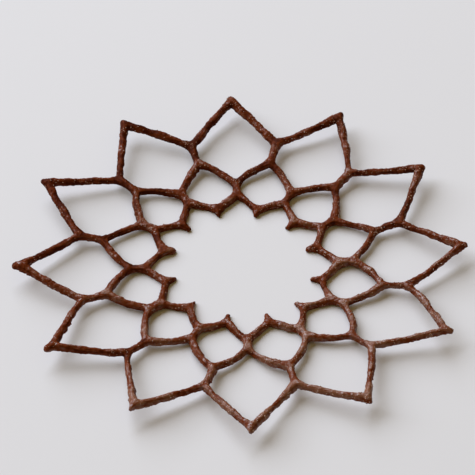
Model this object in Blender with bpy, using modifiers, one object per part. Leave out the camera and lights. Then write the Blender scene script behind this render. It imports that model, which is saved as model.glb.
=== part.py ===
"""Lace tuile: a rosette of cocoa batter, twelve pointed petals baked as one open lattice.

The batter lies in strands that meet three at a time. They are laid out flat as ribbons, the
sheet is dished so that the petals' tips rise, and the ribbons are then given their height
and a rounded top. Frame: +Z up, the inner ring's underside on z = 0, petal 0 towards +Y and
the others clockwise from it as seen from above. Lengths are metres.
"""

import math
import random

import bmesh
import bpy
from mathutils import Vector

MM = 0.001

# ---- Driving dimensions ----
PETALS = 12
RADIUS = 60.0 * MM           # middle to a petal's apex
STRAND_HEIGHT = 1.7 * MM
STATION_SPACING = 3.9 * MM   # about the length of a ribbon's segments

# The sheet is flat out to FLAT_RADIUS, and from there it rises by a square law.
FLAT_RADIUS = 23.0 * MM
DISH_DEPTH = 4.84 * MM       # what the square law gives over a whole RADIUS

# The rings of crossings: distance from the middle, and the place between two petals, in
# petal steps clockwise.
RINGS = {
    "apex": (RADIUS, 0.0),
    "tip": (58.2 * MM, 0.0),
    "shoulder": (44.0 * MM, 0.5),
    "fork": (37.7 * MM, 0.5),
    "upper knot": (29.6 * MM, 0.0),
    "lower knot": (25.9 * MM, 0.0),
    "heel": (21.0 * MM, 0.5),
    "spur": (18.0 * MM, 0.5),
}

# The strands of one petal: the ring and the neighbour (in petals) at each end, the width,
# how far the strand bows to its left, and where along it the bow is deepest.
STRANDS = (
    ("tip", 0, "shoulder", 0, 1.7 * MM, 0.35 * MM, 0.68),
    ("tip", 0, "shoulder", -1, 1.7 * MM, -0.35 * MM, 0.68),
    ("shoulder", 0, "fork", 0, 1.8 * MM, 0.0, 0.5),
    ("fork", 0, "upper knot", 0, 1.7 * MM, -0.75 * MM, 0.48),
    ("fork", -1, "upper knot", 0, 1.7 * MM, 0.75 * MM, 0.48),
    ("upper knot", 0, "lower knot", 0, 2.1 * MM, 0.0, 0.5),
    ("lower knot", 0, "heel", 0, 1.7 * MM, 0.2 * MM, 0.5),
    ("lower knot", 0, "heel", -1, 1.7 * MM, -0.2 * MM, 0.5),
    ("tip", 0, "apex", 0, 1.9 * MM, 0.0, 0.5),
    ("heel", 0, "spur", 0, 2.0 * MM, 0.0, 0.5),
)

# A free end's width, as a share of its strand's, and the petals whose free ends are blunt.
FREE_ENDS = {"apex": 0.2, "spur": 0.3}
BLUNT_ENDS = {"apex": (2, 4, 8, 9), "spur": (1, 2, 3, 6, 9, 10)}
BLUNT_SHARE = 0.65

# The batter ran wider towards one side of the back.
WIDER_TOWARDS = math.radians(35)   # anticlockwise from +Y
WIDER_BY = 0.12              # at the tips on that side, as a share of the width

# Batter laid by hand strays from the drawn pattern. Petal by petal: steps outwards, then steps
# anticlockwise. The spur is the one clockwise of the petal.
STRAY_STEP = 0.5 * MM
TIP_STRAYS = (
    (-1, 0), (0, -1), (-1, 2), (-1, 2), (0, 2), (-1, -1),
    (0, -3), (0, -3), (1, 0), (1, 2), (1, 1), (0, 1),
)
KNOT_STRAYS = (
    (0, 0), (-1, 0), (-1, 0), (-1, -1), (0, -1), (1, 0),
    (0, -1), (-1, 0), (-1, 0), (0, 0), (1, -1), (1, 0),
)
SPUR_STRAYS = (
    (-1, 1), (-1, 0), (-1, 0), (1, -3), (2, -2), (0, 1),
    (-1, 0), (-1, -1), (0, -2), (1, -2), (2, 0), (1, 1),
)

# Whose strays each ring takes, and what share of them outwards and sideways. A crossing
# between two petals takes the mean of theirs.
FOLLOWED = {
    "apex": (TIP_STRAYS, 1.0, 1.0),
    "tip": (TIP_STRAYS, 0.5, 0.8),
    "shoulder": (TIP_STRAYS, 0.0, 0.6),
    "fork": (KNOT_STRAYS, 1.0, 0.0),
    "upper knot": (KNOT_STRAYS, 1.0, 0.7),
    "lower knot": (KNOT_STRAYS, 1.3, 1.0),
    "heel": (SPUR_STRAYS, 0.8, 0.4),
    "spur": (SPUR_STRAYS, 0.7, 0.8),
}

# Two of the shoulders are drawn in towards the middle as well, and all the spurs' ends lean
# towards the back.
DRAWN_IN = {("shoulder", 1): 0.5 * MM, ("shoulder", 7): 0.4 * MM}
SPUR_LEAN = 0.4 * MM

# Some strands lie to the left of their drawn bow, or to the right where it is below zero.
LAID_ASIDE = {
    ("tip", 1, "shoulder", 0): 0.3 * MM,
    ("tip", 2, "shoulder", 1): 0.5 * MM,
    ("tip", 3, "shoulder", 2): 0.3 * MM,
    ("tip", 4, "shoulder", 3): -0.4 * MM,
    ("tip", 5, "shoulder", 5): 0.25 * MM,
    ("tip", 9, "shoulder", 9): -0.35 * MM,
    ("tip", 11, "shoulder", 11): 0.25 * MM,
    ("fork", 2, "upper knot", 2): 0.45 * MM,
    ("fork", 2, "upper knot", 3): -0.45 * MM,
    ("fork", 3, "upper knot", 3): -0.35 * MM,
    ("fork", 4, "upper knot", 4): -0.45 * MM,
    ("fork", 5, "upper knot", 6): 0.35 * MM,
    ("fork", 6, "upper knot", 7): 0.45 * MM,
    ("fork", 7, "upper knot", 8): 0.4 * MM,
    ("fork", 9, "upper knot", 10): -0.4 * MM,
}

# Small unevenness along every strand.
WOBBLE_SEED = 12
SIDE_WOBBLE = 0.12 * MM      # of the middle line
WIDTH_WOBBLE = 0.07          # of the width, as a share of it
LEAST_HEIGHT = 0.85          # of STRAND_HEIGHT, between the crossings
FREE_END_HEIGHT = 0.7        # of STRAND_HEIGHT

WEB_CREASE = 0.5             # keeps the cells' corners and the petals' tips from rounding off

BAKED_COCOA = (0.085, 0.028, 0.013, 1.0)


class Strand:
    """One strand: the crossings at its ends, and its middle line's points and widths."""

    def __init__(self, start, end, points, widths):
        self.start, self.end = start, end
        self.points, self.widths = points, widths


def stray(ring, petal):
    """How far a crossing lies from the drawn pattern, outwards and anticlockwise."""
    strays, outwards, sideways = FOLLOWED[ring]
    here = Vector(strays[petal % PETALS])
    if RINGS[ring][1] and strays is not SPUR_STRAYS:
        here = here.lerp(Vector(strays[(petal + 1) % PETALS]), 0.5)
    drawn_in = DRAWN_IN.get((ring, petal % PETALS), 0.0)
    return here.x * outwards * STRAY_STEP - drawn_in, here.y * sideways * STRAY_STEP


def ring_point(ring, petal):
    """Where a crossing lies in the plane: its place on the ring, and its stray from there."""
    radius, between = RINGS[ring]
    turn = math.pi / 2 - (petal + between) * math.tau / PETALS
    outwards = Vector((math.cos(turn), math.sin(turn)))
    reach, sway = stray(ring, petal)
    lean = SPUR_LEAN if ring == "spur" else 0.0
    return outwards * (radius + reach) + outwards.orthogonal() * sway + Vector((0.0, lean))


def spread_at(point):
    """A strand's width there, as a share of its drawn width."""
    towards = Vector((-math.sin(WIDER_TOWARDS), math.cos(WIDER_TOWARDS)))
    return 1 + WIDER_BY * point.dot(towards) / RADIUS


def end_share(ring, petal):
    """A strand's width at its end, as a share: less where the end is free."""
    if petal in BLUNT_ENDS.get(ring, ()):
        return BLUNT_SHARE
    return FREE_ENDS.get(ring, 1.0)


def lay_strand(start, end, width, bow, deepest, wobble):
    """A strand from one crossing to another, as a chord that bows to its left."""
    first, last = ring_point(*start), ring_point(*end)
    bow += LAID_ASIDE.get(start + end, 0.0)
    chord = last - first
    left = chord.orthogonal().normalized()
    segments = max(1, round(chord.length / STATION_SPACING))
    skew = math.log(0.5) / math.log(deepest)
    points, shares = [first], [1.0]
    for station in range(1, segments):
        share = station / segments
        drift = wobble.uniform(-SIDE_WOBBLE, SIDE_WOBBLE)
        aside = bow * math.sin(math.pi * share ** skew) + drift
        points.append(first + chord * share + left * aside)
        shares.append(wobble.uniform(1 - WIDTH_WOBBLE, 1 + WIDTH_WOBBLE))
    points.append(last)
    shares.append(end_share(*end))
    widths = [width * spread_at(point) * each for point, each in zip(points, shares)]
    return Strand(start, end, points, widths)


def lay_all_strands():
    wobble = random.Random(WOBBLE_SEED)
    strands = []
    for petal in range(PETALS):
        for ring_a, step_a, ring_b, step_b, width, bow, deepest in STRANDS:
            start = (ring_a, (petal + step_a) % PETALS)
            end = (ring_b, (petal + step_b) % PETALS)
            strands.append(lay_strand(start, end, width, bow, deepest, wobble))
    return strands


def arms_of_crossings(strands):
    """{crossing: its arms anticlockwise}, each arm as (heading, width, strand, at its end)."""
    arms = {}
    for strand in strands:
        for at_end, crossing in ((False, strand.start), (True, strand.end)):
            if crossing[0] in FREE_ENDS:
                continue
            here, there = (-1, -2) if at_end else (0, 1)
            away = strand.points[there] - strand.points[here]
            arm = (math.atan2(away.y, away.x), strand.widths[here], strand, at_end)
            arms.setdefault(crossing, []).append(arm)
    return {crossing: sorted(found, key=lambda arm: arm[0]) for crossing, found in arms.items()}


def add_crossing(sheet, crossing, arms):
    """The web where strands meet. Its corners are where the edges of two neighbours cross.

    Returns {(strand, at its end): the corner on the arm's right, the corner on its left}.
    """
    middle = ring_point(*crossing)
    corners = []
    for arm, following in zip(arms, arms[1:] + arms[:1]):
        spread = (following[0] - arm[0]) % math.tau
        bisector = arm[0] + spread / 2
        reach = (arm[1] + following[1]) / 4 / math.sin(spread / 2)
        corner = middle + reach * Vector((math.cos(bisector), math.sin(bisector)))
        corners.append(sheet.verts.new(corner.to_3d()))
    sheet.faces.new(corners)
    return {
        (arm[2], arm[3]): (corners[place - 1], corners[place])
        for place, arm in enumerate(arms)
    }


def add_ribbon(sheet, strand, mouths):
    """A strand's quads, from the web at its start to the web or free end at its other end."""
    rungs = []
    count = len(strand.points)
    for place, (point, width) in enumerate(zip(strand.points, strand.widths)):
        if place == 0:
            rungs.append(mouths[strand, False])
        elif place == count - 1 and strand.end[0] not in FREE_ENDS:
            left, right = mouths[strand, True]
            rungs.append((right, left))
        else:
            ahead = strand.points[min(place + 1, count - 1)] - strand.points[place - 1]
            aside = ahead.orthogonal().normalized() * width / 2
            rungs.append([sheet.verts.new(p.to_3d()) for p in (point - aside, point + aside)])
    for (right, left), (next_right, next_left) in zip(rungs, rungs[1:]):
        sheet.faces.new((right, next_right, next_left, left))


def dish_rise(distance):
    """Height of the sheet at a distance from the middle."""
    return DISH_DEPTH * max(0.0, distance ** 2 - FLAT_RADIUS ** 2) / RADIUS ** 2


def height_share(vertex, wobble):
    """A strand's height at a vertex, as a share: full at the webs, least at the free ends."""
    if len(vertex.link_faces) == 1:
        return FREE_END_HEIGHT
    at_web = any(len(face.verts) == 3 for face in vertex.link_faces)
    return 1.0 if at_web else wobble.uniform(LEAST_HEIGHT, 1.0)


def centre_on_box(sheet):
    """Moves the sheet so that its box is centred on the origin."""
    for axis in range(2):
        places = [vertex.co[axis] for vertex in sheet.verts]
        middle = (min(places) + max(places)) / 2
        for vertex in sheet.verts:
            vertex.co[axis] -= middle


def build_sheet(mesh):
    """Fills a mesh with the dished sheet of ribbons. Returns each vertex's height share."""
    strands = lay_all_strands()
    sheet = bmesh.new()
    mouths = {}
    for crossing, arms in arms_of_crossings(strands).items():
        mouths.update(add_crossing(sheet, crossing, arms))
    for strand in strands:
        add_ribbon(sheet, strand, mouths)
    for vertex in sheet.verts:
        vertex.co.z = dish_rise(vertex.co.length)
    centre_on_box(sheet)
    wobble = random.Random(WOBBLE_SEED)
    shares = [height_share(vertex, wobble) for vertex in sheet.verts]
    sheet.to_mesh(mesh)
    sheet.free()
    mesh.shade_smooth()
    return shares


def add_height(tuile, shares):
    """Grows the sheet upwards, and rounds its top and its sides but not its flat underside."""
    group = tuile.vertex_groups.new(name="height")
    for index, share in enumerate(shares):
        group.add([index], share, "REPLACE")
    solidify = tuile.modifiers.new("Strand height", "SOLIDIFY")
    solidify.thickness = STRAND_HEIGHT
    solidify.offset = 1.0
    solidify.vertex_group = group.name
    solidify.edge_crease_inner = 1.0
    solidify.edge_crease_rim = WEB_CREASE
    rounding = tuile.modifiers.new("Rounded batter", "SUBSURF")
    rounding.levels = 1
    rounding.render_levels = 1


def baked_cocoa():
    material = bpy.data.materials.new("baked cocoa batter")
    material.use_nodes = True
    shader = material.node_tree.nodes["Principled BSDF"]
    shader.inputs["Base Color"].default_value = BAKED_COCOA
    shader.inputs["Roughness"].default_value = 0.5
    shader.inputs["Metallic"].default_value = 0.0
    return material


def build_tuile(collection):
    mesh = bpy.data.meshes.new("tuile")
    tuile = bpy.data.objects.new("tuile", mesh)
    collection.objects.link(tuile)
    add_height(tuile, build_sheet(mesh))
    mesh.materials.append(baked_cocoa())


def clear_scene():
    for thing in list(bpy.data.objects):
        bpy.data.objects.remove(thing, do_unlink=True)


def main():
    clear_scene()
    collection = bpy.data.collections.new("Lace tuile")
    bpy.context.scene.collection.children.link(collection)
    build_tuile(collection)


if __name__ == "__main__":
    main()
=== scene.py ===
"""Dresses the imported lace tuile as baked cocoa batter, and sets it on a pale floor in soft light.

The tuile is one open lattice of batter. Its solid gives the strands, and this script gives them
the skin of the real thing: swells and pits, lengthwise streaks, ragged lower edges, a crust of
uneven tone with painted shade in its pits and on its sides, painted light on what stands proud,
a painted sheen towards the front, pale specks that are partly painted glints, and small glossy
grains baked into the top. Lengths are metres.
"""

import math

import bmesh
import bpy
from mathutils import Matrix, Vector


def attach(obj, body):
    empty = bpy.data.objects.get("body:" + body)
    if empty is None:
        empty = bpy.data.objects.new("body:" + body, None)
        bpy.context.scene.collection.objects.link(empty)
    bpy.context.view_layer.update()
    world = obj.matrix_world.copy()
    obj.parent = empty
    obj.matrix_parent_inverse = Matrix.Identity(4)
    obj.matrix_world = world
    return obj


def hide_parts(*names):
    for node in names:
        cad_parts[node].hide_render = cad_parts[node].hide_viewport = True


bl_info = {
    "name": "Lace Tuile",
    "version": (1, 0, 0),
    "blender": (4, 5, 0),
    "location": "3D View > Sidebar > Tuile",
    "description": "Gives a lace tuile its baked cocoa skin, and sets its stage",
    "category": "Object",
}

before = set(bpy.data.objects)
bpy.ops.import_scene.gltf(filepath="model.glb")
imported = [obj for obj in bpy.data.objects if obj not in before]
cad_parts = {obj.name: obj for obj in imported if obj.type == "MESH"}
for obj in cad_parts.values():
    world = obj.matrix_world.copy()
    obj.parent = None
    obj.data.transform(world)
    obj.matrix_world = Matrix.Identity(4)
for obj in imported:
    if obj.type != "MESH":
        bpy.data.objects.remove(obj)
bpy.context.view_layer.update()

MM = 0.001
NODE = "tuile"
BODY = "root"
BATTER = "baked_lattice"
GRAINS = "crust_grains"

MERGE_DISTANCE = 0.001 * MM  # joins the frame's loose triangles
ACROSS = "across"            # attribute: how far down a strand's side a point lies
RELIEF = "relief"            # attribute: how far the skin stands proud there, about -1 to 1
RIM = 60.0 * MM              # from the middle to a petal's apex
SENSOR_WIDTH = 36.0          # of the camera, in mm


# ---- Settings ----

def length(name, description, default):
    """A length that the sidebar shows in the scene's units."""
    return bpy.props.FloatProperty(
        name=name, description=description, default=default, min=0.0, unit="LENGTH", subtype="DISTANCE")


def share(name, description, default):
    """A share from 0 to 1."""
    return bpy.props.FloatProperty(
        name=name, description=description, default=default, min=0.0, max=1.0, subtype="FACTOR")


def angle(name, description, degrees):
    """An angle, whose default is given in degrees."""
    return bpy.props.FloatProperty(
        name=name, description=description, default=math.radians(degrees), unit="ROTATION", subtype="ANGLE")


def colour(name, description, default):
    """A colour, whose default is in linear light."""
    return bpy.props.FloatVectorProperty(
        name=name, description=description, default=default, size=3, min=0.0, max=1.0, subtype="COLOR")


class TuileSkin(bpy.types.PropertyGroup):
    """Sizes of the batter's baked skin."""

    grid: length("Skin grid", "Side of the small faces that the skin is made of", 0.28 * MM)
    plump: length("Plumpness", "How far the skin is let out, to make up for its rounding", 0.09 * MM)
    swell_size: length("Swell size", "Length of the batter's slow swells", 5.0 * MM)
    swell_height: length("Swell height", "How high the slow swells stand", 0.42 * MM)
    grain_size: length("Grain size", "Size of the crust's grain", 0.85 * MM)
    grain_height: length("Grain height", "How high the crust's grain stands", 0.15 * MM)
    streak_length: length("Streak length", "Length of the streaks along a strand", 3.2 * MM)
    streak_width: length("Streak width", "Width of the streaks along a strand", 0.55 * MM)
    streak_height: length("Streak height", "How high the streaks stand", 0.06 * MM)
    pit_spacing: length("Pit spacing", "Distance between the pits that burst bubbles left", 1.6 * MM)
    pit_depth: length("Pit depth", "How deep those pits are", 0.12 * MM)
    ragged_size: length("Ragged edge size", "Length of the lumps along the lower edges", 1.3 * MM)
    ragged_spread: length("Ragged edge spread", "How far those lumps spread outwards", 0.22 * MM)
    tip_fullness: length("Tip fullness", "How far a petal's tip is let out to its sides", 0.22 * MM)
    wander_size: length("Wander size", "Length of the bends in a strand that wanders", 5.0 * MM)
    wander: length("Wander", "How far a strand wanders to its sides", 0.19 * MM)
    seed: bpy.props.IntProperty(name="Seed", description="Draws another skin", default=5, min=0)


class TuileGrains(bpy.types.PropertyGroup):
    """The small hard grains baked into the top of the crust."""

    spacing: length("Grain spacing", "Least distance between two grains", 0.34 * MM)
    per_area: bpy.props.FloatProperty(
        name="Grains per area", description="Grains per square metre where they lie thickest",
        default=3.2e6, min=0.0)
    least: length("Least grain", "Radius of the smallest grains", 0.10 * MM)
    greatest: length("Greatest grain", "Radius of the greatest grains", 0.24 * MM)
    patch_size: length("Patch size", "Length of the patches that the grains lie in", 6.0 * MM)
    seed: bpy.props.IntProperty(name="Seed", description="Draws other grains", default=3, min=0)


class TuileFinish(bpy.types.PropertyGroup):
    """Colours and gloss of the baked cocoa batter."""

    # Deep cocoa: a darker tone, and also painted shade in the pits and at the lower edges and sides.
    deep: colour("Deep cocoa", "Colour in the pits and at the lower edges", (0.060, 0.0084, 0.0006))
    cocoa: colour("Cocoa", "Main colour of the batter", (0.136, 0.0255, 0.0048))
    # Crust: a paler tone, and also painted light, as what stands proud is painted paler.
    crust: colour("Crust", "Colour of what stands proud", (0.202, 0.074, 0.035))
    # Pale specks: partly bloom, and partly painted glints.
    bloom: colour("Bloom", "Colour of the pale specks on the crust", (0.49, 0.30, 0.22))
    grain: colour("Grains", "Colour of the hard grains", (0.55, 0.34, 0.24))
    bloom_share: share("Bloom share", "How much of the crust the pale specks cover", 0.08)
    gloss: share("Gloss", "How strong the fatty gloss is on what stands proud", 1.0)
    # Painted sheen: the front right is painted paler than the back left, in place of the light from behind
    # glancing off.
    uneven_bake: share("Front sheen", "How much paler the front right is baked than the back left", 0.34)


class TuileStage(bpy.types.PropertyGroup):
    """The floor, the light and the camera."""

    floor: colour("Floor", "Colour of the pale floor", (0.735, 0.722, 0.733))
    key: colour("Key colour", "Colour of the soft light from behind", (0.81, 0.88, 1.0))
    key_power: bpy.props.FloatProperty(
        name="Key power", description="Power of the soft light from behind", default=218.0, min=0.0,
        unit="POWER")
    key_width: length("Key width", "Width of the soft light, as of a window", 4.6)
    key_height: length("Key height", "Height of the soft light", 2.5)
    key_distance: length("Key distance", "From the tuile to the soft light", 3.2)
    key_azimuth: angle("Key azimuth", "How far the soft light stands to the left of straight behind", 40.0)
    key_elevation: angle("Key elevation", "How high the soft light stands over the floor", 36.0)
    sky: colour("Sky colour", "Colour of the even light from all round", (1.0, 0.74, 0.30))
    sky_strength: bpy.props.FloatProperty(
        name="Sky", description="Strength of the even light from all round", default=0.225, min=0.0)
    elevation: angle("Camera elevation", "How far the camera looks down", 47.07)
    azimuth: angle("Camera azimuth", "How far the camera stands round to the tuile's left", 3.87)
    roll: angle("Camera roll", "How far the camera is rolled", -0.88)
    distance: length("Camera distance", "From the camera to the point that it looks at", 778.0 * MM)
    focal: bpy.props.FloatProperty(
        name="Focal length", description=f"Focal length in mm, for a sensor of {SENSOR_WIDTH:.0f} mm",
        default=221.7, min=1.0)
    aim: bpy.props.FloatVectorProperty(
        name="Aim", description="The point that the camera looks at", size=3, unit="LENGTH",
        subtype="TRANSLATION", default=(-0.242 * MM, 10.900 * MM, 0.055 * MM))


SETTINGS = {
    "tuile_skin": TuileSkin,
    "tuile_grains": TuileGrains,
    "tuile_finish": TuileFinish,
    "tuile_stage": TuileStage,
}


# ---- Node trees ----

NODE_STEP = 200              # from one node to the next in the node editor
NOISE_MIDDLE = 0.5
COLOUR_MIDDLE = (0.5, 0.5, 0.5)  # of a noise in all three axes
NOISE_SWING = 3.0            # noise seldom strays by more than a third from its middle
LEVEL = (1.0, 1.0, 0.0)      # by this, a vector loses its height


class Wiring:
    """Lays nodes into a tree. A source is a plain value or the output of another node."""

    def __init__(self, tree):
        self.tree = tree
        self.column = 0

    def add(self, kind, sources=None, output=0, **settings):
        """A new node, with its sources by input socket and its settings by name.

        Returns one of its outputs, or the node itself where output is None.
        """
        node = self.tree.nodes.new(kind)
        node.location = (self.column, 0)
        self.column += NODE_STEP
        for name, value in settings.items():
            setattr(node, name, value)
        for name, source in (sources or {}).items():
            if isinstance(source, bpy.types.NodeSocket):
                self.tree.links.new(source, node.inputs[name])
            else:
                node.inputs[name].default_value = source
        return node if output is None else node.outputs[output]

    def math(self, operation, first, second=0.0):
        return self.add("ShaderNodeMath", {0: first, 1: second}, operation=operation)

    def vector(self, operation, first, second=(0.0, 0.0, 0.0)):
        return self.add("ShaderNodeVectorMath", {0: first, 1: second}, operation=operation)

    def scaled(self, vector, factor):
        return self.add("ShaderNodeVectorMath", {0: vector, "Scale": factor}, operation="SCALE")

    def measured(self, operation, first, second=(0.0, 0.0, 0.0)):
        """A number from one or two vectors: a length or a dot product."""
        return self.add("ShaderNodeVectorMath", {0: first, 1: second}, output="Value", operation=operation)

    def ramp(self, value, low, high, start=0.0, end=1.0):
        """The value from low to high as a smooth step from start to end."""
        sources = {"Value": value, "From Min": low, "From Max": high, "To Min": start, "To Max": end}
        return self.add("ShaderNodeMapRange", sources, interpolation_type="SMOOTHSTEP")

    def noise(self, place, size, detail=2.0, **settings):
        """Noise from 0 to 1 with features of a size, in the units of the place."""
        sources = {"Vector": place, "Scale": self.math("DIVIDE", 1.0, size), "Detail": detail}
        return self.add("ShaderNodeTexNoise", sources, **settings)

    def streaks(self, place, across, streak_length, streak_width, detail):
        """Noise from 0 to 1 in streaks that run along a strand, and are narrow across it."""
        along = self.scaled(place, self.math("DIVIDE", 1.0, streak_length))
        line = self.math("DIVIDE", across, streak_width)
        sources = {"Vector": along, "W": line, "Scale": 1.0, "Detail": detail}
        return self.add("ShaderNodeTexNoise", sources, noise_dimensions="4D")

    def swing(self, noise, factor=NOISE_SWING):
        """Noise from 0 to 1 as a swing about 0, which is from about -1 to 1 by the usual factor."""
        return self.math("MULTIPLY", self.math("SUBTRACT", noise, NOISE_MIDDLE), factor)


# ---- The skin ----

SKIN_SIZES = (
    "plump", "swell_size", "swell_height", "grain_size", "grain_height", "streak_length", "streak_width",
    "streak_height", "pit_spacing", "pit_depth", "ragged_size", "ragged_spread", "tip_fullness",
    "wander_size", "wander",
)
SEED_STEP = (0.11, 0.07, 0.05)        # how far each seed moves the skin's noise, in metres
STRAND_ROUND = 0.9 * MM               # radius of a strand's rounded top
TIP_REACH = (0.87 * RIM, 0.95 * RIM)  # from the middle, where a petal's tip starts and is full
PIT_REACH = 0.28                      # a pit's radius, in pit spacings
PIT_PATCH = 3.0                       # size of the patches that have pits, in pit spacings
LUMP_PATCH = 6.0                      # size of the patches that have lumps, in lump lengths
WANDER_SWING = (4.0, 4.0, 0.0)        # makes noise a level swing from about -1 to 1

# Noise, where each of these starts and is full.
PITTED = (0.50, 0.62)      # a patch that has pits
LUMP = (0.48, 0.72)
LUMPY = (0.42, 0.60)       # a patch that has lumps

# How far upwards a side faces, from -1 to 1, where each of these starts and is full.
OFF_MAT = (-0.75, -0.20)   # clear of the mat
OVER_MAT = (-0.98, -0.60)  # the creep just above the mat, from below
UNDER_TOP = (0.35, -0.25)  # the same, from above


def named_inputs(tree, settings, sizes):
    """Gives the tree an input for each size, a seed and a material. Returns {name: identifier}."""
    tree.interface.new_socket("Geometry", in_out="OUTPUT", socket_type="NodeSocketGeometry")
    tree.interface.new_socket("Geometry", in_out="INPUT", socket_type="NodeSocketGeometry")
    identifiers = {}
    for name in sizes:
        label = settings.bl_rna.properties[name].name
        socket = tree.interface.new_socket(label, in_out="INPUT", socket_type="NodeSocketFloat")
        identifiers[name] = socket.identifier
    socket = tree.interface.new_socket("Seed", in_out="INPUT", socket_type="NodeSocketInt")
    identifiers["seed"] = socket.identifier
    socket = tree.interface.new_socket("Material", in_out="INPUT", socket_type="NodeSocketMaterial")
    identifiers["material"] = socket.identifier
    return identifiers


def add_tree(thing, name, tree_and_inputs, settings, sizes, material):
    """A Geometry Nodes modifier on an object, with its inputs set."""
    tree, identifiers = tree_and_inputs
    modifier = thing.modifiers.new(name, "NODES")
    modifier.node_group = tree
    for size in sizes:
        modifier[identifiers[size]] = getattr(settings, size)
    modifier[identifiers["seed"]] = settings.seed
    modifier[identifiers["material"]] = material


def skin_tree(skin):
    """The rule of the skin: what is pushed out and in, where, and how far."""
    tree = bpy.data.node_groups.new("Baked batter skin", "GeometryNodeTree")
    identifiers = named_inputs(tree, skin, SKIN_SIZES)
    wiring = Wiring(tree)
    given = wiring.add("NodeGroupInput", output=None)
    size = {name: given.outputs[skin.bl_rna.properties[name].name] for name in SKIN_SIZES}

    normal = wiring.add("GeometryNodeInputNormal")
    upward = wiring.add("ShaderNodeSeparateXYZ", {"Vector": normal}, output="Z")
    place = wiring.add("GeometryNodeInputPosition")
    seeded = wiring.vector("ADD", place, wiring.scaled(SEED_STEP, given.outputs["Seed"]))

    # How far down a strand's side a point lies, from the way that the side faces.
    tilt = wiring.math("ARCCOSINE", upward)
    across = wiring.math("MULTIPLY", tilt, STRAND_ROUND)

    swell = wiring.swing(wiring.noise(seeded, size["swell_size"]))
    grain = wiring.swing(wiring.noise(seeded, size["grain_size"]))
    streak = wiring.swing(
        wiring.streaks(seeded, across, size["streak_length"], size["streak_width"], detail=1.0))

    per_pit = wiring.math("DIVIDE", 1.0, size["pit_spacing"])
    from_pit = wiring.add("ShaderNodeTexVoronoi", {"Vector": seeded, "Scale": per_pit})
    patches = wiring.noise(seeded, wiring.math("MULTIPLY", size["pit_spacing"], PIT_PATCH))
    pit = wiring.math("MULTIPLY", wiring.ramp(from_pit, PIT_REACH, 0.0), wiring.ramp(patches, *PITTED))

    skin_height = wiring.math("MULTIPLY", swell, size["swell_height"])
    for part, height in ((grain, size["grain_height"]), (streak, size["streak_height"])):
        skin_height = wiring.math("ADD", skin_height, wiring.math("MULTIPLY", part, height))
    skin_height = wiring.math("SUBTRACT", skin_height, wiring.math("MULTIPLY", pit, size["pit_depth"]))

    # The underside lay on the mat, so it stays flat.
    off_mat = wiring.ramp(upward, *OFF_MAT)
    push = wiring.math("MULTIPLY", wiring.math("ADD", skin_height, size["plump"]), off_mat)
    outwards = wiring.scaled(normal, push)

    # Just above the mat, the batter has crept outwards in small lumps.
    lumps = wiring.ramp(wiring.noise(seeded, size["ragged_size"]), *LUMP)
    patches = wiring.noise(seeded, wiring.math("MULTIPLY", size["ragged_size"], LUMP_PATCH))
    lumps = wiring.math("MULTIPLY", lumps, wiring.ramp(patches, *LUMPY))
    low = wiring.math("MULTIPLY", wiring.ramp(upward, *OVER_MAT), wiring.ramp(upward, *UNDER_TOP))
    level = wiring.vector("NORMALIZE", wiring.vector("MULTIPLY", normal, LEVEL))
    creep = wiring.math("MULTIPLY", wiring.math("MULTIPLY", lumps, low), size["ragged_spread"])
    outwards = wiring.vector("ADD", outwards, wiring.scaled(level, creep))

    # At a petal's tip the batter gathered, which makes the tip fuller but no longer.
    flat_place = wiring.vector("MULTIPLY", place, LEVEL)
    radial = wiring.vector("NORMALIZE", flat_place)
    endways = wiring.measured("DOT_PRODUCT", normal, radial)
    sideways = wiring.vector("SUBTRACT", normal, wiring.scaled(radial, endways))
    tip = wiring.ramp(wiring.measured("LENGTH", flat_place), *TIP_REACH)
    gathered = wiring.math("MULTIPLY", tip, size["tip_fullness"])
    gathered = wiring.math("MULTIPLY", gathered, off_mat)
    outwards = wiring.vector("ADD", outwards, wiring.scaled(sideways, gathered))

    # A whole strand wanders a little to its sides, and stays on the mat.
    bends = wiring.noise(seeded, size["wander_size"], detail=1.0, output="Color")
    bends = wiring.vector("SUBTRACT", bends, COLOUR_MIDDLE)
    bends = wiring.scaled(wiring.vector("MULTIPLY", bends, WANDER_SWING), size["wander"])
    outwards = wiring.vector("ADD", outwards, bends)

    full_height = wiring.math("ADD", size["grain_height"], size["swell_height"])
    relief = wiring.math("DIVIDE", skin_height, full_height)
    body = given.outputs["Geometry"]
    for name, value in ((ACROSS, across), (RELIEF, relief)):
        body = wiring.add(
            "GeometryNodeStoreNamedAttribute", {"Geometry": body, "Name": name, "Value": value},
            data_type="FLOAT", domain="POINT")
    body = wiring.add("GeometryNodeSetPosition", {"Geometry": body, "Offset": outwards})
    body = wiring.add("GeometryNodeSetShadeSmooth", {"Geometry": body})
    body = wiring.add("GeometryNodeRealizeInstances", {"Geometry": body})
    body = wiring.add("GeometryNodeSetMaterial", {"Geometry": body, "Material": given.outputs["Material"]})
    wiring.add("NodeGroupOutput", {"Geometry": body}, output=None)
    return tree, identifiers


RIM_TURN = math.radians(50)    # edges that turn by more are the sharp rim of the underside
RIM_CREASE = 0.8               # how sharp that rim stays, from 0 to 1
JOIN_TURN = math.radians(60)   # two triangles that turn by less may be joined to a quad
JOIN_SHAPE = math.radians(70)  # how far such a quad's corners may be from square
ROUNDING = 2                   # times that the strands are subdivided


def strands_as_quads():
    """A copy of the tuile's solid, with its triangles merged and joined to quads."""
    cage = bmesh.new()
    cage.from_mesh(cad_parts[NODE].data)
    bmesh.ops.remove_doubles(cage, verts=cage.verts, dist=MERGE_DISTANCE)
    bmesh.ops.join_triangles(
        cage, faces=cage.faces, angle_face_threshold=JOIN_TURN, angle_shape_threshold=JOIN_SHAPE)
    crease = cage.edges.layers.float.new("crease_edge")
    for edge in cage.edges:
        if edge.calc_face_angle() > RIM_TURN:
            edge[crease] = RIM_CREASE
    mesh = bpy.data.meshes.new("strands")
    cage.to_mesh(mesh)
    cage.free()
    return mesh


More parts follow.
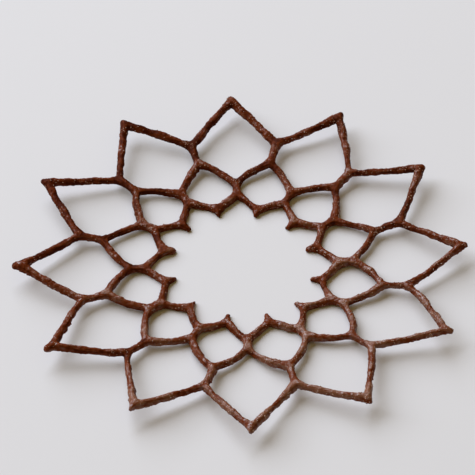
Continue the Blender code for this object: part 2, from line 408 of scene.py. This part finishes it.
def as_plain_mesh(thing, name):
    """The object as its modifiers leave it, as a new object with a plain mesh."""
    evaluated = thing.evaluated_get(bpy.context.evaluated_depsgraph_get())
    mesh = bpy.data.meshes.new_from_object(evaluated)
    mesh.name = name
    plain = bpy.data.objects.new(name, mesh)
    bpy.context.scene.collection.objects.link(plain)
    bpy.data.objects.remove(thing)
    return plain


class TUILE_OT_bake_batter(bpy.types.Operator):
    """Makes the lattice of baked cocoa batter round the tuile's solid"""

    bl_idname = "tuile.bake_batter"
    bl_label = "Bake Batter"

    def execute(self, context):
        skin = context.scene.tuile_skin
        raw = bpy.data.objects.new("raw_batter", strands_as_quads())
        context.scene.collection.objects.link(raw)
        rounding = raw.modifiers.new("Rounded strands", "SUBSURF")
        rounding.levels = rounding.render_levels = ROUNDING
        gridding = raw.modifiers.new("Even grid", "REMESH")
        gridding.mode = "VOXEL"
        gridding.voxel_size = skin.grid
        gridding.use_smooth_shade = True
        material = cocoa_batter(context.scene.tuile_finish)
        add_tree(raw, "Baked skin", skin_tree(skin), skin, SKIN_SIZES, material)
        batter = as_plain_mesh(raw, BATTER)
        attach(batter, BODY)
        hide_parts(NODE)
        return {"FINISHED"}


# ---- The grains ----

GRAIN_SIZES = ("spacing", "per_area", "least", "greatest", "patch_size")
GRAIN_SQUASH = (1.0, 0.8, 0.6)  # its size along each of its axes, in radii
GRAIN_RAGGED = 0.9           # how far apart a grain's corners stray, in least radii
GRAIN_LEAN = 0.10            # how much thicker the grains lie towards the right
GRAIN_PATCH = (0.42, 0.70)   # noise, where a patch of grains starts and is full
GRAIN_SHARES = (0.05, 1.0)   # how thick the grains lie outside the patches and inside
GRAIN_TOP = (-0.1, 0.5)      # how far upwards a side faces, where grains start and lie thickest

# A random value node's sockets for a number, and for a vector.
NUMBER_MIN, NUMBER_MAX, NUMBER = 2, 3, 1
VECTOR_MAX, VECTOR = 1, 0


def grain_tree(grains):
    """The rule of the grains: where they lie on the batter, and how big and ragged each is."""
    tree = bpy.data.node_groups.new("Crust grains", "GeometryNodeTree")
    identifiers = named_inputs(tree, grains, GRAIN_SIZES)
    wiring = Wiring(tree)
    given = wiring.add("NodeGroupInput", output=None)
    size = {name: given.outputs[grains.bl_rna.properties[name].name] for name in GRAIN_SIZES}
    seed = given.outputs["Seed"]

    normal = wiring.add("GeometryNodeInputNormal")
    upward = wiring.add("ShaderNodeSeparateXYZ", {"Vector": normal}, output="Z")
    place = wiring.add("GeometryNodeInputPosition")
    patches = wiring.noise(place, size["patch_size"])
    sideways = wiring.add("ShaderNodeSeparateXYZ", {"Vector": place}, output="X")
    patches = wiring.math("ADD", patches, wiring.math("MULTIPLY", sideways, GRAIN_LEAN / RIM))
    patches = wiring.ramp(patches, *GRAIN_PATCH, *GRAIN_SHARES)
    likely = wiring.math("MULTIPLY", wiring.ramp(upward, *GRAIN_TOP), patches)
    points = wiring.add(
        "GeometryNodeDistributePointsOnFaces",
        {"Mesh": given.outputs["Geometry"], "Distance Min": size["spacing"],
         "Density Max": size["per_area"], "Density Factor": likely, "Seed": seed},
        output=None, distribute_method="POISSON")

    stone = wiring.add("GeometryNodeMeshIcoSphere", {"Radius": 1.0, "Subdivisions": 1}, output="Mesh")
    stone = wiring.add("GeometryNodeTransform", {"Geometry": stone, "Scale": GRAIN_SQUASH})
    radius = wiring.add(
        "FunctionNodeRandomValue",
        {NUMBER_MIN: size["least"], NUMBER_MAX: size["greatest"], "Seed": seed},
        output=NUMBER, data_type="FLOAT")
    spin = wiring.add(
        "FunctionNodeRandomValue", {VECTOR_MAX: (math.tau, math.tau, math.tau)},
        output=VECTOR, data_type="FLOAT_VECTOR")
    body = wiring.add(
        "GeometryNodeInstanceOnPoints",
        {"Points": points.outputs["Points"], "Instance": stone, "Rotation": spin, "Scale": radius})
    body = wiring.add("GeometryNodeRealizeInstances", {"Geometry": body})
    stray = wiring.add("ShaderNodeTexWhiteNoise", {"Vector": place}, output="Color", noise_dimensions="3D")
    stray = wiring.vector("SUBTRACT", stray, COLOUR_MIDDLE)
    stray = wiring.scaled(stray, wiring.math("MULTIPLY", size["least"], GRAIN_RAGGED))
    body = wiring.add("GeometryNodeSetPosition", {"Geometry": body, "Offset": stray})
    body = wiring.add("GeometryNodeRealizeInstances", {"Geometry": body})
    body = wiring.add("GeometryNodeSetMaterial", {"Geometry": body, "Material": given.outputs["Material"]})
    wiring.add("NodeGroupOutput", {"Geometry": body}, output=None)
    return tree, identifiers


class TUILE_OT_scatter_grains(bpy.types.Operator):
    """Bakes small hard grains into the top of the batter"""

    bl_idname = "tuile.scatter_grains"
    bl_label = "Scatter Grains"

    def execute(self, context):
        grains = context.scene.tuile_grains
        batter = bpy.data.objects.get(BATTER)
        if batter is None:
            raise RuntimeError("The batter is baked first")
        loose = bpy.data.objects.new("loose_grains", batter.data.copy())
        context.scene.collection.objects.link(loose)
        material = hard_grain(context.scene.tuile_finish)
        add_tree(loose, "Crust grains", grain_tree(grains), grains, GRAIN_SIZES, material)
        crust = as_plain_mesh(loose, GRAINS)
        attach(crust, BODY)
        return {"FINISHED"}


# ---- Materials ----

# A mix node's sockets for colours.
MIX_FIRST, MIX_SECOND, MIX_RESULT = 6, 7, 2


def new_material(name):
    """A material with an empty tree but for its shader. Returns it, its wiring and its shader."""
    material = bpy.data.materials.new(name)
    material.use_nodes = True
    material.node_tree.nodes.clear()
    wiring = Wiring(material.node_tree)
    shader = wiring.add("ShaderNodeBsdfPrincipled", output=None)
    wiring.add("ShaderNodeOutputMaterial", {"Surface": shader.outputs["BSDF"]}, output=None)
    return material, wiring, shader


def blended(wiring, amount, first, second):
    """The first colour with the second over it, by an amount from 0 to 1."""
    sources = {"Factor": amount}
    for socket, source in ((MIX_FIRST, first), (MIX_SECOND, second)):
        sources[socket] = source if isinstance(source, bpy.types.NodeSocket) else (*source, 1.0)
    return wiring.add("ShaderNodeMix", sources, output=MIX_RESULT, data_type="RGBA")


# The patterns in the batter, by the length of their features.
BAKE_PATCH = 9.0 * MM
MOTTLE = 1.1 * MM
FINE = 0.35 * MM
STREAK_ALONG = 5.0 * MM
STREAK_ACROSS = 0.5 * MM
SMOOTH_PATCH = 0.6 * MM
FLECK = 0.7 * MM

# How much each counts in how pale the batter is painted, which swings about 0: the relief as painted light
# and shade, the others as real tone.
RELIEF_SHADING = 0.45
MOTTLE_COUNTS = 0.9
STREAK_COUNTS = 1.2
PATCH_COUNTS = 0.8
CONTRAST = 1.2                      # multiplies the sum of these four
SIDE_SHADE = 0.06                  # painted shade: darker on a strand's sides, by this
SIDE = (0.6 * MM, 1.4 * MM)         # across, where that painted shade on a strand's side starts and is full
SHEEN_TOWARDS = (0.35, -0.94, 0.0)  # painted sheen: paler towards the front, and a little to the right

# How pale the batter is painted, from real tone and painted light and shade, where each colour or gloss
# starts and is full.
COCOA_FROM = (-0.45, -0.02)
CRUST_FROM = (0.0, 0.55)
GLOSS_FROM = (0.0, 0.45)
FLECKS_FROM = (-0.3, 0.3)

# Noise, where each of these starts and is full.
SPECK_NOISE = (0.80, 0.90)          # less the share of bloom and painted glints
FLECK_NOISE = (0.50, 0.62)
SMOOTH_NOISE = (0.3, 0.7)

SPECK_PATCHY = 0.5                  # how much the bake's patches count in where the specks lie
SPECK_STRENGTH = 0.8
ROUGHNESS = (0.60, 0.40)            # between the smooth patches, and in them
GLOSS = (0.02, 0.30)                # of what doesn't stand proud, and of what does
FLECK_GLOSS = 0.88
BUMP_DEPTH = 0.25 * MM
BUMP_FINE = 0.6                     # how much the fine grain counts in the bump
BUMP_STREAK = 0.4


def cocoa_batter(finish):
    """Baked cocoa batter of uneven tone, with painted shade in its pits and on its sides, painted light
    where it stands proud, and a few pale specks that are partly painted glints.
    """
    material, wiring, shader = new_material("baked cocoa batter")
    place = wiring.add("ShaderNodeTexCoord", output="Object")
    relief = wiring.add("ShaderNodeAttribute", output="Fac", attribute_name=RELIEF)
    across = wiring.add("ShaderNodeAttribute", output="Fac", attribute_name=ACROSS)

    patches = wiring.noise(place, BAKE_PATCH)
    mottle = wiring.noise(place, MOTTLE, detail=3.0)
    fine = wiring.noise(place, FINE)
    streak = wiring.streaks(place, across, STREAK_ALONG, STREAK_ACROSS, detail=2.0)

    # How pale the batter is painted comes from patterns in the batter itself, a real uneven tone, and from
    # the skin's form, as painted shade in its pits and painted light on what stands proud.
    proud = wiring.math("MULTIPLY", relief, RELIEF_SHADING)
    for pattern, counts in ((mottle, MOTTLE_COUNTS), (streak, STREAK_COUNTS), (patches, PATCH_COUNTS)):
        proud = wiring.math("ADD", proud, wiring.swing(pattern, counts))
    # Painted sheen: paler towards the front right, where the light from behind glances off.
    paler = wiring.measured("DOT_PRODUCT", place, SHEEN_TOWARDS)
    paler = wiring.math("MULTIPLY", paler, finish.uneven_bake / RIM)
    proud = wiring.math("ADD", wiring.math("MULTIPLY", proud, CONTRAST), paler)
    # Painted shade: a strand's sides are painted darker.
    side = wiring.ramp(across, *SIDE)
    proud = wiring.math("SUBTRACT", proud, wiring.math("MULTIPLY", side, SIDE_SHADE))

    # Deep cocoa in the hollows and on the sides is partly painted shade, and crust on what stands proud is
    # partly painted light.
    base = blended(wiring, wiring.ramp(proud, *COCOA_FROM), finish.deep, finish.cocoa)
    base = blended(wiring, wiring.ramp(proud, *CRUST_FROM), base, finish.crust)
    # Pale specks of bloom, which are partly painted glints.
    speck = wiring.math("ADD", fine, wiring.swing(patches, SPECK_PATCHY))
    speck = wiring.ramp(speck, *(noise - finish.bloom_share for noise in SPECK_NOISE))
    base = blended(wiring, wiring.math("MULTIPLY", speck, SPECK_STRENGTH), base, finish.bloom)
    wiring.tree.links.new(base, shader.inputs["Base Color"])

    rough = wiring.ramp(wiring.noise(place, SMOOTH_PATCH), *SMOOTH_NOISE, *ROUGHNESS)
    wiring.tree.links.new(rough, shader.inputs["Roughness"])
    shader.inputs["Specular IOR Level"].default_value = 0.02
    fleck = wiring.ramp(wiring.noise(place, FLECK, detail=1.0), *FLECK_NOISE)
    fleck = wiring.math("MULTIPLY", fleck, wiring.ramp(proud, *FLECKS_FROM))
    gloss = wiring.ramp(proud, *GLOSS_FROM, *GLOSS)
    gloss = wiring.math("MAXIMUM", gloss, wiring.math("MULTIPLY", fleck, FLECK_GLOSS))
    wiring.tree.links.new(wiring.math("MULTIPLY", gloss, finish.gloss), shader.inputs["Coat Weight"])
    shader.inputs["Coat Roughness"].default_value = 0.22
    shader.inputs["Coat IOR"].default_value = 1.7

    fine_bumps = wiring.math("MULTIPLY", fine, BUMP_FINE)
    bumps = wiring.math("ADD", fine_bumps, wiring.math("MULTIPLY", streak, BUMP_STREAK))
    bump = wiring.add(
        "ShaderNodeBump", {"Height": bumps, "Strength": 1.0, "Distance": BUMP_DEPTH}, output="Normal")
    for socket in ("Normal", "Coat Normal"):
        wiring.tree.links.new(bump, shader.inputs[socket])
    return material


SHADE_PATCH = 0.9 * MM       # size of the patches of tan and of brown grains
SHADE_NOISE = (0.35, 0.65)   # noise, where the tan starts and is full


def hard_grain(finish):
    """Hard cocoa and sugar grains: tan to brown, with a gloss that makes them glint."""
    material, wiring, shader = new_material("hard crust grains")
    place = wiring.add("ShaderNodeTexCoord", output="Object")
    shade = wiring.ramp(wiring.noise(place, SHADE_PATCH, detail=1.0), *SHADE_NOISE)
    base = blended(wiring, shade, finish.crust, finish.grain)
    wiring.tree.links.new(base, shader.inputs["Base Color"])
    shader.inputs["Roughness"].default_value = 0.25
    shader.inputs["Specular IOR Level"].default_value = 0.7
    return material


def pale_floor(stage):
    """A plain matt floor."""
    material, _, shader = new_material("pale floor")
    shader.inputs["Base Color"].default_value = (*stage.floor, 1.0)
    shader.inputs["Roughness"].default_value = 0.7
    shader.inputs["Specular IOR Level"].default_value = 0.2
    return material


# ---- The stage ----

FLOOR_REACH = 6.0            # from the middle to the floor's sides
FLOOR_GAP = 0.02 * MM        # keeps the floor clear of the underside
CLIP_START, CLIP_END = 0.01, 20.0  # the nearest and farthest that the camera sees


def add_floor(stage):
    """A flat floor just under the tuile."""
    mesh = bpy.data.meshes.new("floor")
    shape = bmesh.new()
    bmesh.ops.create_grid(shape, size=FLOOR_REACH, matrix=Matrix.Translation((0.0, 0.0, -FLOOR_GAP)))
    shape.to_mesh(mesh)
    shape.free()
    mesh.materials.append(pale_floor(stage))
    floor = bpy.data.objects.new("floor", mesh)
    bpy.context.scene.collection.objects.link(floor)


def sight_line(azimuth, elevation):
    """The way to something that stands round to the left of the front, and up, by two angles."""
    level = math.cos(elevation)
    return Vector((-math.sin(azimuth) * level, -math.cos(azimuth) * level, math.sin(elevation)))


def add_light(stage):
    """A big soft light behind the tuile and to its left, and an even light from all round."""
    light = bpy.data.lights.new("soft light from behind", "AREA")
    light.shape = "RECTANGLE"
    light.size = stage.key_width
    light.size_y = stage.key_height
    light.energy = stage.key_power
    light.color = stage.key
    lamp = bpy.data.objects.new("soft light from behind", light)
    lamp.visible_camera = False
    towards = sight_line(math.pi - stage.key_azimuth, stage.key_elevation)
    lamp.location = towards * stage.key_distance
    lamp.rotation_mode = "QUATERNION"
    lamp.rotation_quaternion = towards.to_track_quat("Z", "Y")
    bpy.context.scene.collection.objects.link(lamp)

    world = bpy.data.worlds.new("even light")
    world.use_nodes = True
    sky = world.node_tree.nodes["Background"]
    sky.inputs["Color"].default_value = (*stage.sky, 1.0)
    sky.inputs["Strength"].default_value = stage.sky_strength
    bpy.context.scene.world = world


def add_camera(stage):
    """A long lens that looks down at the tuile, as the picture was taken."""
    data = bpy.data.cameras.new("camera")
    data.lens = stage.focal
    data.sensor_width = SENSOR_WIDTH
    data.clip_start = CLIP_START
    data.clip_end = CLIP_END
    camera = bpy.data.objects.new("camera", data)
    back = sight_line(stage.azimuth, stage.elevation)
    camera.location = Vector(stage.aim) + back * stage.distance
    camera.rotation_mode = "QUATERNION"
    upright = back.to_track_quat("Z", "Y")
    camera.rotation_quaternion = upright @ Matrix.Rotation(-stage.roll, 3, "Z").to_quaternion()
    bpy.context.scene.collection.objects.link(camera)
    bpy.context.scene.camera = camera


class TUILE_OT_set_stage(bpy.types.Operator):
    """Sets the pale floor, the soft light and the camera"""

    bl_idname = "tuile.set_stage"
    bl_label = "Set Stage"

    def execute(self, context):
        stage = context.scene.tuile_stage
        add_floor(stage)
        add_light(stage)
        add_camera(stage)
        context.scene.view_settings.view_transform = "Standard"
        return {"FINISHED"}


class TUILE_PT_sidebar(bpy.types.Panel):
    """Lists the steps and their settings"""

    bl_label = "Lace Tuile"
    bl_idname = "TUILE_PT_sidebar"
    bl_space_type = "VIEW_3D"
    bl_region_type = "UI"
    bl_category = "Tuile"

    def draw(self, context):
        steps = {
            "tuile_skin": (TUILE_OT_bake_batter,),
            "tuile_grains": (TUILE_OT_scatter_grains,),
            "tuile_finish": (),
            "tuile_stage": (TUILE_OT_set_stage,),
        }
        for group, operators in steps.items():
            settings = getattr(context.scene, group)
            box = self.layout.box()
            for name in settings.__annotations__:
                box.prop(settings, name)
            for operator in operators:
                box.operator(operator.bl_idname)


CLASSES = (
    *SETTINGS.values(), TUILE_OT_bake_batter, TUILE_OT_scatter_grains, TUILE_OT_set_stage, TUILE_PT_sidebar)


def register():
    for each in CLASSES:
        bpy.utils.register_class(each)
    for name, group in SETTINGS.items():
        setattr(bpy.types.Scene, name, bpy.props.PointerProperty(type=group))


def unregister():
    for name in SETTINGS:
        delattr(bpy.types.Scene, name)
    for each in reversed(CLASSES):
        bpy.utils.unregister_class(each)


def main():
    register()
    bpy.ops.tuile.bake_batter()
    bpy.ops.tuile.scatter_grains()
    bpy.ops.tuile.set_stage()


if __name__ == "__main__":
    main()
